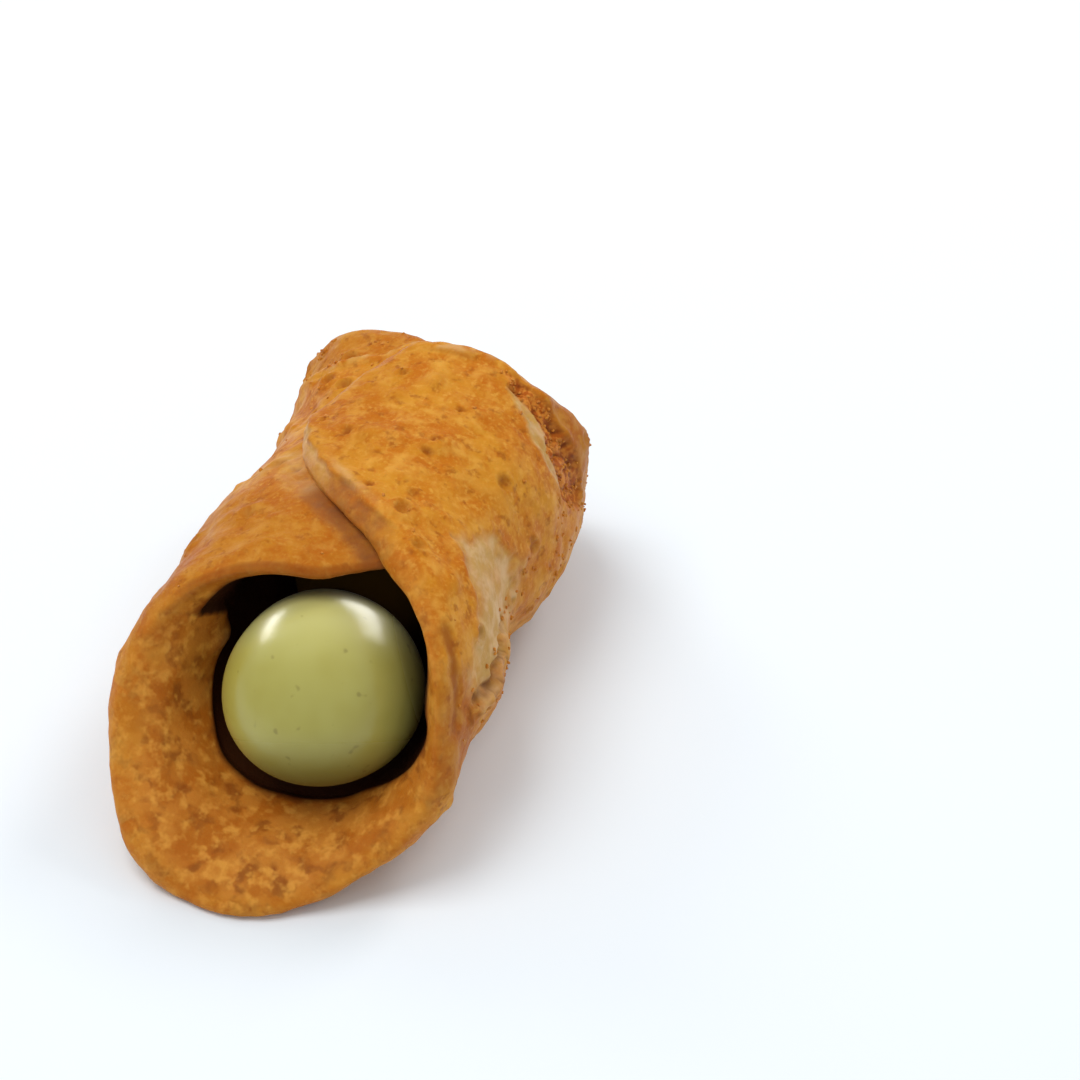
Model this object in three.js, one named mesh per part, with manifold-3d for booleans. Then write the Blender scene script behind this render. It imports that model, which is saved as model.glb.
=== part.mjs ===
// A baked cannolo: an oval sheet of dough wrapped round a tube, filled with a piped cream.
// The tube runs along Y, with the long-lipped mouth at -Y, and the roll rests at z = 0.
// A place on the sheet is given by its turn round the tube (degrees: 0 at the bottom, 90 at +X, 180 on top,
// negative round by -X) and by its distance back from the front lip (millimetres).
import * as THREE from "three";
import { ParametricGeometry } from "three/addons/geometries/ParametricGeometry.js";
import { mergeVertices } from "three/addons/utils/BufferGeometryUtils.js";
import Module from "manifold-3d";

const wasm = await Module();
wasm.setup();

// Driving dimensions of the dough, in millimetres and degrees.
const LENGTH = 79.6; // from the front lip to the back lip, along the bottom
const BORE_HALF_WIDTH = 12.3; // half the tube's opening across
const BORE_HALF_HEIGHT = 11.1; // half the tube's opening upwards
const WALL_BOTTOM = 5.5; // dough thickness under the tube
const WALL_SIDE = 5.8; // beside it
const WALL_TOP = 4.5; // over it
const TIP_THINNING = 0.15; // share of the thickness lost towards both tips of the sheet
const LEAST_WALL = 2; // what the flare leaves of the dough
const RIM_ROUND = 3; // width of the rounded rim
const FLAP_START = -228; // turn at the tip of the lower flap, which lies under the upper one
const FLAP_END = 214.5; // turn at the tip of the upper flap
const FLAP_LIFT = 3.4; // how far the upper flap is raised to lie on the lower one
const LIFT_FROM = 97; // turn where it starts to rise
const LIFT_TO = 142; // turn where it has risen fully
const FRONT_FLARE = 3.2; // how far the front mouth opens out inside, like a funnel
const FRONT_FLARE_DEPTH = 11;
const BACK_FLARE = 2;
const BACK_FLARE_DEPTH = 10;
const FLARE_LOSS_TOP = 0.45; // share of the flare lost over the tube
const FLARE_GAIN_RIGHT = 0.25; // share gained at +X
const FLARE_GAIN_LEFT = 0.8; // share gained at the upper left
const RIGHT_ROOM = 1.8; // how much wider the tube is at +X, behind the front mouth
const RIGHT_ROOM_FROM = 28; // where that starts to fade, back from the front lip
const RIGHT_ROOM_TO = 50;
const FLARE_END_FROM = 128; // turn where the flare starts to fade towards the upper flap's tip
const FLARE_END_TO = 158;
const BOW = -1.9; // sideways bow of the tube, its ends against its middle
const LIP_DROP = 0.2; // how much lower the bottom bulges at the front lip
const LIP_DROP_LENGTH = 32;
const TAIL_DROP = 0.4; // and at the back lip
const TAIL_DROP_LENGTH = 22;
const REST_DEPTH = 0.6; // depth of the flat strip that the roll rests on
const JOIN_OVERLAP = 8; // turn by which the two half sheets run into each other under the tube

// The sheet's outline: [turn, distance back from the front lip].
const FRONT_RIM = [
  [FLAP_START, 44], [-212, 33.2], [-195, 29], [-180, 26.6], [-165, 25.6], [-150, 24.4], [-120, 20.2],
  [-85, 12.4], [-40, 2.2], [0, 0], [40, 5.7], [85, 13.6], [125, 20.6], [147, 27.4], [160, 30.9],
  [180, 35.4], [200, 40.8], [210, 45.2], [FLAP_END, 50],
];
const BACK_RIM = [
  [FLAP_START, 44], [-210, 62], [-180, 71.4], [-130, 74], [-85, 76.3], [-40, 78.2], [0, LENGTH],
  [40, 77.8], [85, 75], [105, 71.6], [130, 68.2], [145, 67.2], [158, 68.2], [172, 67.8], [187, 66.2],
  [200, 61.8], [208, 57.5], [FLAP_END, 50],
];
// How far the sides swell out beyond the plain wall: [distance back from the front lip, swell].
const LEFT_SWELL = [[0, 5.8], [10, 3.3], [20, 3.2], [30, 3.3], [42, 2.9], [54, 0.2], [66, 1.1], [78, 2.8]];
const RIGHT_SWELL = [[0, 1.7], [10, 2.9], [20, 2.2], [30, 2.8], [42, 0.5], [54, 2.7], [66, 2.4], [78, 0]];

// Driving dimensions of the cream.
const CREAM_GAP = 0.3; // clearance to the dough deep inside
const BALL_GAP = 0.65; // clearance round the ball that the cream forms in the front mouth
const CREAM_FRONT = 11.2; // front of the ball, back from the front lip
const CREAM_BACK = 69; // apex of the back dome
const FRONT_DOME = 12.1; // half the ball's length along the tube
const BACK_DOME = 5;
const BALL_LEAN = 2.1; // how far the ball sits towards +X
const BALL_SINK = 0.3; // and how far down
const BALL_RISE = 0.09; // share by which its upper half is taller
const TAIL_FROM = -6; // where the rest of the cream starts to widen, back from the ball's widest place
const TAIL_TO = 26; // and where it fills the tube

// Mesh steps.
const TURN_STEPS = 44;
const WIDTH_STEPS = 20;
const CREAM_STEPS_ROUND = 44;
const CREAM_STEPS_LONG = 32;

const DOUGH_LOOK = new THREE.MeshStandardMaterial({ color: 0xc8842f, roughness: 0.55, metalness: 0 });
const CREAM_LOOK = new THREE.MeshStandardMaterial({ color: 0xb0ad62, roughness: 0.25, metalness: 0 });

const ease = THREE.MathUtils.smoothstep;
const radians = THREE.MathUtils.degToRad;
const fade = (distance, length) => Math.max(0, 1 - distance / length) ** 2;

// A smooth curve through the given points that does not overshoot them: a monotone cubic.
function curveThrough(points) {
  const x = points.map((point) => point[0]);
  const y = points.map((point) => point[1]);
  const last = x.length - 1;
  const step = x.slice(1).map((value, i) => value - x[i]);
  const slope = step.map((width, i) => (y[i + 1] - y[i]) / width);
  const endTangent = (h0, h1, m0, m1) => {
    const tangent = ((2 * h0 + h1) * m0 - h0 * m1) / (h0 + h1);
    if (tangent * m0 <= 0) return 0;
    return m0 * m1 < 0 && Math.abs(tangent) > 3 * Math.abs(m0) ? 3 * m0 : tangent;
  };
  const innerTangent = (i) => {
    if (slope[i - 1] * slope[i] <= 0) return 0;
    const before = 2 * step[i] + step[i - 1];
    const after = step[i] + 2 * step[i - 1];
    return (before + after) / (before / slope[i - 1] + after / slope[i]);
  };
  const tangent = x.map((_, i) => (i > 0 && i < last ? innerTangent(i) : 0));
  tangent[0] = endTangent(step[0], step[1], slope[0], slope[1]);
  tangent[last] = endTangent(step[last - 1], step[last - 2], slope[last - 1], slope[last - 2]);
  return (value) => {
    const at = THREE.MathUtils.clamp(value, x[0], x[last]);
    let i = 0;
    while (i < last - 1 && at > x[i + 1]) i += 1;
    const t = (at - x[i]) / step[i];
    const rise = t * t * (3 - 2 * t);
    const curl = t * (1 - t) * ((1 - t) * tangent[i] - t * tangent[i + 1]);
    return y[i] * (1 - rise) + y[i + 1] * rise + step[i] * curl;
  };
}

// A rim as a function of the turn, spread so that both tips come out round.
function rimCurve(rim) {
  const spread = (turn) => Math.asin(THREE.MathUtils.clamp(turn / (turn < 0 ? -FLAP_START : FLAP_END), -1, 1));
  const curve = curveThrough(rim.map(([turn, back]) => [spread(turn), back]));
  return (turn) => curve(spread(turn));
}

const frontRim = rimCurve(FRONT_RIM);
const backRim = rimCurve(BACK_RIM);
const leftSwell = curveThrough(LEFT_SWELL);
const rightSwell = curveThrough(RIGHT_SWELL);

// How far a rim runs along the tube for each millimetre round it.
function rimSlope(rim, turn) {
  const oneDegree = radians(1) * (BORE_HALF_WIDTH + WALL_SIDE / 2);
  return (rim(turn + 0.5) - rim(turn - 0.5)) / oneDegree;
}

// The sideways place of the bowed tube's axis.
const axisX = (back) => BOW * ((2 * back / LENGTH - 1) ** 2 - 1 / 3);

// The point at a turn, a distance back and a height above the tube.
function place(turn, back, height, target) {
  const angle = radians(turn);
  const raised = height + FLAP_LIFT * ease(turn, LIFT_FROM, LIFT_TO);
  return target.set(
    (BORE_HALF_WIDTH + raised) * Math.sin(angle) + axisX(back),
    back - LENGTH / 2,
    -(BORE_HALF_HEIGHT + raised) * Math.cos(angle),
  );
}

// The heights of the dough's inner and outer faces, before its rims are rounded.
function faces(turn, back, toFront, toBack) {
  const side = Math.sin(radians(turn));
  const down = Math.cos(radians(turn));
  const wallThere = WALL_SIDE + ((down > 0 ? WALL_BOTTOM : WALL_TOP) - WALL_SIDE) * down ** 2;
  const wall = wallThere * (1 - TIP_THINNING * ease(Math.abs(turn), 150, 200));
  const swell = Math.abs(side) ** 1.5 * (side < 0 ? leftSwell(back) : rightSwell(back));
  const drop = LIP_DROP * fade(back, LIP_DROP_LENGTH) + TAIL_DROP * fade(LENGTH - back, TAIL_DROP_LENGTH);
  const outer = wall + swell + Math.max(0, down) * drop;
  const flare = FRONT_FLARE * fade(toFront, FRONT_FLARE_DEPTH) + BACK_FLARE * fade(toBack, BACK_FLARE_DEPTH);
  const upperLeft = ease(-turn, 95, 125) * (1 - ease(-turn, 150, 185));
  const gain = 1 + FLARE_GAIN_RIGHT * ease(turn, 50, 100) + FLARE_GAIN_LEFT * upperLeft;
  const onTop = 1 - FLARE_LOSS_TOP * Math.min(0, down) ** 2;
  const kept = gain * onTop * (1 - ease(turn, FLARE_END_FROM, FLARE_END_TO));
  const room = RIGHT_ROOM * Math.max(0, side) ** 1.5 * (1 - ease(back, RIGHT_ROOM_FROM, RIGHT_ROOM_TO));
  return [Math.min(flare * kept + room, outer - LEAST_WALL), outer];
}

// Half of the dough sheet, from the tip of its flap down to a feathered edge under the tube.
// The two faces meet along the rims, at the tip and along the feathered edge, so the half is closed.
function halfSheet(tip) {
  const side = Math.sign(tip);
  const feathered = -side * JOIN_OVERLAP;
  const point = (u, v, target) => {
    const turn = feathered + (tip - feathered) * Math.sin((u * Math.PI) / 2);
    const sweep = side > 0 ? 1 - v : v;
    const across = sweep <= 0.5 ? 2 * sweep : 2 - 2 * sweep;
    const front = frontRim(turn);
    const width = backRim(turn) - front;
    const inFront = (width * (1 - Math.cos(Math.PI * across))) / 2;
    const toFront = inFront / Math.hypot(1, rimSlope(frontRim, turn));
    const toBack = (width - inFront) / Math.hypot(1, rimSlope(backRim, turn));
    const toRim = Math.min(toFront, toBack, RIM_ROUND) / RIM_ROUND;
    const feather = ease(side * turn, -JOIN_OVERLAP, -JOIN_OVERLAP / 2);
    const [inner, outer] = faces(turn, front + inFront, toFront, toBack);
    const half = ((outer - inner) / 2) * Math.sqrt(1 - (1 - toRim) ** 2) * feather;
    place(turn, front + inFront, (inner + outer) / 2 + (sweep <= 0.5 ? half : -half), target);
  };
  return new ParametricGeometry(point, TURN_STEPS, 2 * WIDTH_STEPS);
}

// The cream: a column that fills the tube, with a ball in the front mouth and a dome at the back.
function creamColumn() {
  const point = (u, v, target) => {
    const along = (1 - Math.cos(Math.PI * v)) / 2;
    const back = CREAM_FRONT + (CREAM_BACK - CREAM_FRONT) * along;
    const into = Math.max(0, 1 - (CREAM_BACK - back) / BACK_DOME);
    const behind = back - CREAM_FRONT - FRONT_DOME;
    const ball = 1 - ease(behind, 0, TAIL_TO);
    const ballWidth = Math.sqrt(Math.max(0, 1 - (behind / FRONT_DOME) ** 2));
    const width = Math.max(ballWidth, Math.sqrt(1 - into ** 2) * ease(behind, TAIL_FROM, TAIL_TO));
    const gap = CREAM_GAP + (BALL_GAP - CREAM_GAP) * ball;
    const angle = -u * 2 * Math.PI;
    const down = Math.cos(angle);
    const tall = 1 + BALL_RISE * ball * ease(-down, -0.4, 0.8);
    target.set(
      (BORE_HALF_WIDTH - gap) * width * Math.sin(angle) + axisX(back) + BALL_LEAN * ball,
      back - LENGTH / 2,
      -(BORE_HALF_HEIGHT - gap) * width * down * tall - BALL_SINK * ball,
    );
  };
  return new ParametricGeometry(point, CREAM_STEPS_ROUND, CREAM_STEPS_LONG);
}

// A closed surface as a manifold-3d solid, without the flat triangles where its edges meet.
function solidOf(surface) {
  const bare = new THREE.BufferGeometry();
  bare.setAttribute("position", surface.getAttribute("position"));
  bare.setIndex(surface.getIndex());
  const merged = mergeVertices(bare, 1e-3);
  const corners = merged.getIndex().array;
  const kept = [];
  for (let i = 0; i < corners.length; i += 3) {
    const [a, b, c] = corners.slice(i, i + 3);
    if (a !== b && b !== c && c !== a) kept.push(a, b, c);
  }
  const vertProperties = merged.getAttribute("position").array;
  return new wasm.Manifold(new wasm.Mesh({ numProp: 3, vertProperties, triVerts: new Uint32Array(kept) }));
}

// A manifold-3d solid as a named mesh.
function meshOf(solid, name, look) {
  const { vertProperties, triVerts } = solid.getMesh();
  const geometry = new THREE.BufferGeometry();
  geometry.setAttribute("position", new THREE.BufferAttribute(vertProperties, 3));
  geometry.setIndex(new THREE.BufferAttribute(triVerts, 1));
  geometry.computeVertexNormals();
  const mesh = new THREE.Mesh(geometry, look);
  mesh.name = name;
  return mesh;
}

const lowest = -(BORE_HALF_HEIGHT + WALL_BOTTOM + TAIL_DROP);
const ground = new THREE.BoxGeometry(2 * LENGTH, 2 * LENGTH, LENGTH);
ground.translate(0, 0, lowest + REST_DEPTH - LENGTH / 2);

const sheet = solidOf(halfSheet(FLAP_START)).add(solidOf(halfSheet(FLAP_END)));
const shell = meshOf(sheet.subtract(solidOf(ground)), "shell", DOUGH_LOOK);
const cream = meshOf(solidOf(creamColumn()), "cream", CREAM_LOOK);

// The origin is under the middle of the whole roll.
const cannolo = new THREE.Group();
cannolo.add(shell, cream);
const box = new THREE.Box3().setFromObject(cannolo);
cannolo.children.forEach((mesh) => {
  mesh.position.set(-(box.min.x + box.max.x) / 2, -(box.min.y + box.max.y) / 2, -box.min.z);
});

export default cannolo;
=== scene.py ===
"""The looks of a baked cannolo: a wrapped sheet of mottled golden dough, filled with glossy green cream."""
import math

import bmesh
import bpy
import numpy as np
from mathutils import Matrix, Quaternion, Vector, noise


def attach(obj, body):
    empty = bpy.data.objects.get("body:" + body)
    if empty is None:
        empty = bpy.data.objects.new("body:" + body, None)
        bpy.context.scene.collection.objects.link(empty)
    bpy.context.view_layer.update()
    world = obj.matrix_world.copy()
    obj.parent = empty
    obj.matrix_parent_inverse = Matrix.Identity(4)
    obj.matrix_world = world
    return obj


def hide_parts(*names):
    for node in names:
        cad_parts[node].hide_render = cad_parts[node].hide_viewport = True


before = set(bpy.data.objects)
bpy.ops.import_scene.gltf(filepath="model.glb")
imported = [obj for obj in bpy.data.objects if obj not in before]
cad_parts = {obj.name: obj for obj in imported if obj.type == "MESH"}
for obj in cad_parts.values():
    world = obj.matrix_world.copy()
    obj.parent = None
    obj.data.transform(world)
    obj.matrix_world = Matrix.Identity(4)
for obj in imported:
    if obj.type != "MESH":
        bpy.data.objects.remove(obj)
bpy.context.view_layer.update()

MM = 0.001

# ---------------------------------------------------------------- the dough sheet
# Lengths are in millimetres and angles in degrees.
# A place on the sheet is its turn round the tube (0 at the bottom, 90 at +X, 180 on top, negative by -X)
# and its distance back from the front lip. The numbers are the CAD model's.
LENGTH = 79.6
BORE_HALF_WIDTH = 12.3
BORE_HALF_HEIGHT = 11.1
WALL_BOTTOM = 5.5
WALL_SIDE = 5.8
WALL_TOP = 4.5
TIP_THINNING = 0.15
TIP_TURNS = (150, 200)  # turns either way over which the sheet thins
LEAST_WALL = 2.0
RIM_ROUND = 3.0
FLAP_START = -228.0
FLAP_END = 214.5
FLAP_LIFT = 3.4
LIFT_FROM = 97.0
LIFT_TO = 142.0
FRONT_FLARE = 3.2
FRONT_FLARE_DEPTH = 11.0
BACK_FLARE = 2.0
BACK_FLARE_DEPTH = 10.0
FLARE_LOSS_TOP = 0.45
FLARE_GAIN_RIGHT = 0.25
FLARE_GAIN_LEFT = 0.8
RIGHT_TURNS = (50, 100)
UPPER_LEFT_BEGIN = (95, 125)  # by -X, so these two count from the bottom to the left
UPPER_LEFT_END = (150, 185)
RIGHT_ROOM = 1.8
RIGHT_ROOM_FROM = 28.0
RIGHT_ROOM_TO = 50.0
FLARE_END_FROM = 128.0
FLARE_END_TO = 158.0
BOW = -1.9
LIP_DROP = 0.2
LIP_DROP_LENGTH = 32.0
TAIL_DROP = 0.4
TAIL_DROP_LENGTH = 22.0
REST_DEPTH = 0.6
AXIS_X = 0.1
FRONT_RIM = [
    (FLAP_START, 44), (-212, 33.2), (-195, 29), (-180, 26.6), (-165, 25.6), (-150, 24.4), (-120, 20.2),
    (-85, 12.4), (-40, 2.2), (0, 0), (40, 5.7), (85, 13.6), (125, 20.6), (147, 27.4), (160, 30.9),
    (180, 35.4), (200, 40.8), (210, 45.2), (FLAP_END, 50),
]
BACK_RIM = [
    (FLAP_START, 44), (-210, 62), (-180, 71.4), (-130, 74), (-85, 76.3), (-40, 78.2), (0, LENGTH),
    (40, 77.8), (85, 75), (105, 71.6), (130, 68.2), (145, 67.2), (158, 68.2), (172, 67.8), (187, 66.2),
    (200, 61.8), (208, 57.5), (FLAP_END, 50),
]
LEFT_SWELL = [(0, 5.8), (10, 3.3), (20, 3.2), (30, 3.3), (42, 2.9), (54, 0.2), (66, 1.1), (78, 2.8)]
RIGHT_SWELL = [(0, 1.7), (10, 2.9), (20, 2.2), (30, 2.8), (42, 0.5), (54, 2.7), (66, 2.4), (78, 0)]
ARC = math.radians(1) * (BORE_HALF_WIDTH + WALL_SIDE)  # millimetres round the outside for each degree

# Cream, in millimetres.
CREAM_GAP = 0.3
BALL_GAP = 0.65
CREAM_FRONT = 11.2
CREAM_BACK = 69.0
FRONT_DOME = 12.1
BACK_DOME = 5.0
BALL_LEAN = 2.1
BALL_SINK = 0.3
BALL_RISE = 0.09
BALL_RISE_ZONE = (-0.4, 0.8)  # heights on the ball, from -1 to 1, over which it grows taller
TAIL_FROM = -6.0
TAIL_TO = 26.0

# Upwards and to the right for someone who looks into the front mouth from above.
MOUTH_UP = np.array([-0.21, 0.63, 0.75])
MOUTH_RIGHT = np.array([0.95, 0.32, 0.0])

# Mesh steps of the shell: round the tube to the left and the right, and along the outer and inner faces.
LEFT_STEPS = 120
RIGHT_STEPS = 165
OUTER_STEPS = 212
INNER_STEPS = 136
SLOW_TO_TIPS = 0.86  # share of the way after which the steps shorten towards the sheet's tips
SLOW_TO_RIMS = 0.93  # and towards its rims
# The inner face is fine near its rims and coarse in the middle, which the cream hides.
INNER_STEP_SHARES = [0, 0.05, 0.62, 0.78, 1]
INNER_WAY_SHARES = [0, 0.008, 0.42, 0.8, 1]

# This mark counts millimetres into the painted shade inside the bore. Everything else has this value.
NOT_IN_BORE_SHADE = -3.0


def ease(x, a, b):
    """A smooth step from 0 at a to 1 at b."""
    t = np.clip((x - a) / (b - a), 0, 1)
    return t * t * (3 - 2 * t)


def fade(distance, length):
    return np.maximum(0, 1 - distance / length) ** 2


def curve_through(points):
    """A smooth curve through the given points that does not overshoot them: a monotone cubic."""
    x, y = (np.array(column, float) for column in zip(*points))
    step = np.diff(x)
    slope = np.diff(y) / step
    tangent = np.zeros(len(x))
    for i in range(1, len(x) - 1):
        if slope[i - 1] * slope[i] > 0:
            before = 2 * step[i] + step[i - 1]
            after = step[i] + 2 * step[i - 1]
            tangent[i] = (before + after) / (before / slope[i - 1] + after / slope[i])

    def end_tangent(h0, h1, m0, m1):
        found = ((2 * h0 + h1) * m0 - h0 * m1) / (h0 + h1)
        if found * m0 <= 0:
            return 0
        return 3 * m0 if m0 * m1 < 0 and abs(found) > 3 * abs(m0) else found

    tangent[0] = end_tangent(step[0], step[1], slope[0], slope[1])
    tangent[-1] = end_tangent(step[-1], step[-2], slope[-1], slope[-2])

    def curve(value):
        at = np.clip(value, x[0], x[-1])
        i = np.clip(np.searchsorted(x, at) - 1, 0, len(step) - 1)
        t = (at - x[i]) / step[i]
        rise = t * t * (3 - 2 * t)
        curl = t * (1 - t) * ((1 - t) * tangent[i] - t * tangent[i + 1])
        return y[i] * (1 - rise) + y[i + 1] * rise + step[i] * curl

    return curve


def rim_curve(rim):
    """A rim as a function of the turn, spread so that both tips come out round."""

    def spread(turn):
        turn = np.asarray(turn, float)
        return np.arcsin(np.clip(turn / np.where(turn < 0, -FLAP_START, FLAP_END), -1, 1))

    curve = curve_through([(float(spread(turn)), back) for turn, back in rim])
    return lambda turn: curve(spread(turn))


front_rim = rim_curve(FRONT_RIM)
back_rim = rim_curve(BACK_RIM)
left_swell = curve_through(LEFT_SWELL)
right_swell = curve_through(RIGHT_SWELL)


def rim_slope(rim, turn):
    one_degree = math.radians(1) * (BORE_HALF_WIDTH + WALL_SIDE / 2)
    return (rim(turn + 0.5) - rim(turn - 0.5)) / one_degree


def axis_x(back):
    return BOW * ((2 * back / LENGTH - 1) ** 2 - 1 / 3)


def place(turn, back, height):
    """Points at turns, distances back and heights above the bore, in the frame's millimetres."""
    turn, back, height = np.broadcast_arrays(turn, back, height)
    angle = np.radians(turn)
    raised = height + FLAP_LIFT * ease(turn, LIFT_FROM, LIFT_TO)
    x = (BORE_HALF_WIDTH + raised) * np.sin(angle) + axis_x(back) + AXIS_X
    middle_z = BORE_HALF_HEIGHT + WALL_BOTTOM + TAIL_DROP - REST_DEPTH
    z = middle_z - (BORE_HALF_HEIGHT + raised) * np.cos(angle)
    return np.stack([x, back - LENGTH / 2, z], -1)


def faces_of(turn, back, to_front, to_back):
    """The heights of the dough's inner and outer faces, before its rims are rounded."""
    side = np.sin(np.radians(turn))
    down = np.cos(np.radians(turn))
    wall = WALL_SIDE + (np.where(down > 0, WALL_BOTTOM, WALL_TOP) - WALL_SIDE) * down**2
    wall = wall * (1 - TIP_THINNING * ease(np.abs(turn), *TIP_TURNS))
    swell = np.abs(side) ** 1.5 * np.where(side < 0, left_swell(back), right_swell(back))
    drop = LIP_DROP * fade(back, LIP_DROP_LENGTH) + TAIL_DROP * fade(LENGTH - back, TAIL_DROP_LENGTH)
    outer = wall + swell + np.maximum(0, down) * drop
    flare = FRONT_FLARE * fade(to_front, FRONT_FLARE_DEPTH) + BACK_FLARE * fade(to_back, BACK_FLARE_DEPTH)
    upper_left = ease(-turn, *UPPER_LEFT_BEGIN) * (1 - ease(-turn, *UPPER_LEFT_END))
    gain = 1 + FLARE_GAIN_RIGHT * ease(turn, *RIGHT_TURNS) + FLARE_GAIN_LEFT * upper_left
    on_top = 1 - FLARE_LOSS_TOP * np.minimum(0, down) ** 2
    kept = gain * on_top * (1 - ease(turn, FLARE_END_FROM, FLARE_END_TO))
    room = RIGHT_ROOM * np.maximum(0, side) ** 1.5 * (1 - ease(back, RIGHT_ROOM_FROM, RIGHT_ROOM_TO))
    return np.minimum(flare * kept + room, outer - LEAST_WALL), outer


def even_then_slow(t, slow_from):
    """0 to 1, even at first and slowing to a stop from slow_from on."""
    speed = 2 / (1 + slow_from)
    return np.where(t < slow_from, speed * t, 1 - speed / (2 * (1 - slow_from)) * (1 - t) ** 2)


def sheet_grid():
    """Turn, distance back, face (+1 outer, -1 inner) and distance to the rims for each grid point."""
    left = even_then_slow(np.linspace(1, 0, LEFT_STEPS, endpoint=False)[1:], SLOW_TO_TIPS) * FLAP_START
    right = even_then_slow(np.linspace(0, 1, RIGHT_STEPS, endpoint=False), SLOW_TO_TIPS) * FLAP_END
    turn = np.concatenate([left, right])
    signed = np.linspace(-1, 1, OUTER_STEPS + 1)
    outer_way = 0.5 + 0.5 * np.sign(signed) * even_then_slow(np.abs(signed), SLOW_TO_RIMS)
    steps = np.linspace(0, 1, INNER_STEPS + 1)[1:-1]
    inner_way = np.interp(steps, INNER_STEP_SHARES, INNER_WAY_SHARES)[::-1]
    way = np.concatenate([outer_way, inner_way])
    face = np.concatenate([np.ones(OUTER_STEPS + 1), -np.ones(INNER_STEPS - 1)])
    front = front_rim(turn)
    width = back_rim(turn) - front
    from_front = width[:, None] * way[None, :]
    to_front = from_front / np.hypot(1, rim_slope(front_rim, turn))[:, None]
    to_back = (width[:, None] - from_front) / np.hypot(1, rim_slope(back_rim, turn))[:, None]
    turns = np.repeat(turn[:, None], len(way), 1)
    return turns, front[:, None] + from_front, np.repeat(face[None, :], len(turn), 0), to_front, to_back


def ring_faces(rings, around):
    """Quads between neighbouring rings, and a fan at each end round one last vertex."""
    i, r = np.meshgrid(np.arange(rings - 1), np.arange(around), indexing="ij")
    nxt = (r + 1) % around
    quads = np.stack([i * around + r, (i + 1) * around + r, (i + 1) * around + nxt, i * around + nxt], -1)
    faces = quads.reshape(-1, 4).tolist()
    first, last = rings * around, rings * around + 1
    for r in range(around):
        faces.append([r, (r + 1) % around, first])
        faces.append([(rings - 1) * around + (r + 1) % around, (rings - 1) * around + r, last])
    return faces


def mesh_piece(name, points, faces, material):
    """A smooth-shaded mesh object from points in millimetres."""
    mesh = bpy.data.meshes.new(name)
    mesh.from_pydata((np.asarray(points) * MM).tolist(), [], faces)
    mesh.validate()
    mesh.polygons.foreach_set("use_smooth", [True] * len(mesh.polygons))
    mesh.materials.append(material)
    mesh.update()
    piece = bpy.data.objects.new(name, mesh)
    bpy.context.scene.collection.objects.link(piece)
    return piece


def normals_of(piece):
    flat = np.zeros(len(piece.data.vertices) * 3, np.float32)
    piece.data.vertex_normals.foreach_get("vector", flat)
    return flat.reshape(-1, 3).astype(float)


def set_points(piece, points):
    piece.data.vertices.foreach_set("co", (points * MM).astype(np.float32).ravel())
    piece.data.update()


def paint(piece, name, values):
    """Stores a number for each vertex, which the materials read by name."""
    layer = piece.data.attributes.new(name, "FLOAT", "POINT")
    layer.data.foreach_set("value", np.asarray(values, np.float32))


# ---------------------------------------------------------------- unevenness
SPOT_CORE = 1.4  # above 1, so that the middle of a spot is solid


def lumps(points, size, seed, octaves=1):
    """Smooth noise from about -1 to 1, with bumps of the given size in millimetres."""
    shift = Vector((17.3 * seed, -9.1 * seed, 5.7 * seed))
    scaled = points / size
    if octaves == 1:
        return np.array([noise.noise(Vector(p) + shift) for p in scaled])
    return np.array([noise.fractal(Vector(p) + shift, 0.9, 2.0, octaves) for p in scaled])


def cells(points, size, seed):
    """Distance to the nearest and to the second nearest of scattered points, in cell sizes."""
    shift = Vector((3.1 * seed, 7.7 * seed, -2.3 * seed))
    found = [noise.voronoi(Vector(p) + shift)[0] for p in points / size]
    return np.array([[d[0], d[1]] for d in found]).T


def near_line(turn, back, line):
    """Millimetres from places on the sheet to a line of (turn, back) points."""
    x, y = turn * ARC, back
    best = np.full(x.shape, np.inf)
    for (t0, b0), (t1, b1) in zip(line, line[1:]):
        dx, dy = (t1 - t0) * ARC, b1 - b0
        along = np.clip(((x - t0 * ARC) * dx + (y - b0) * dy) / (dx**2 + dy**2), 0, 1)
        best = np.minimum(best, np.hypot(x - t0 * ARC - along * dx, y - b0 - along * dy))
    return best


def within(turn, back, outline):
    """Millimetres inside a closed outline of (turn, back) corners, negative outside it."""
    odd = np.zeros(turn.shape, bool)
    for (t0, b0), (t1, b1) in zip(outline, outline[1:] + outline[:1]):
        crosses = (b0 > back) != (b1 > back)
        odd ^= crosses & (turn < t0 + (back - b0) * (t1 - t0) / (b1 - b0 if b1 != b0 else 1))
    distance = near_line(turn, back, outline + outline[:1])
    return np.where(odd, distance, -distance)


def band(distance, half_width, soft=0.4):
    """1 within half_width of a line, 0 beyond it, with a soft edge."""
    return 1 - ease(distance, half_width - soft, half_width + soft)


def bell(distance, width):
    """1 at a place or line, falling off smoothly over the width."""
    return np.exp(-((distance / width) ** 2))


def crown(distance, radius):
    """1 at a place or line, falling like a parabola to 0 at the radius."""
    return np.clip(1 - (distance / radius) ** 2, 0, 1)


def spot(distance, radius, fall=SPOT_CORE):
    """A spot that is solid at its middle and falls off towards the radius."""
    return np.clip(SPOT_CORE - fall * distance / radius, 0, 1)


def stretch(value, begin=None, end=None):
    """1 along a stretch of values: it fades in over the pair begin and out over the pair end."""
    share = 1.0
    if begin:
        share = share * ease(value, *begin)
    if end:
        share = share * (1 - ease(value, *end))
    return share


# ---------------------------------------------------------------- marks on the dough
# Sizes of the lumps of each kind, of the wrinkles, and of the waves that shift the marks.
BROAD = 13
MIDDLING = 5.2
FINE = 2.4
SMALL = 1.1
WRINKLE = 3.4
SHIFT = 2.6
CALM_DEPTH = (16, 26)  # distances in from the rims over which the inside gets calmer
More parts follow.
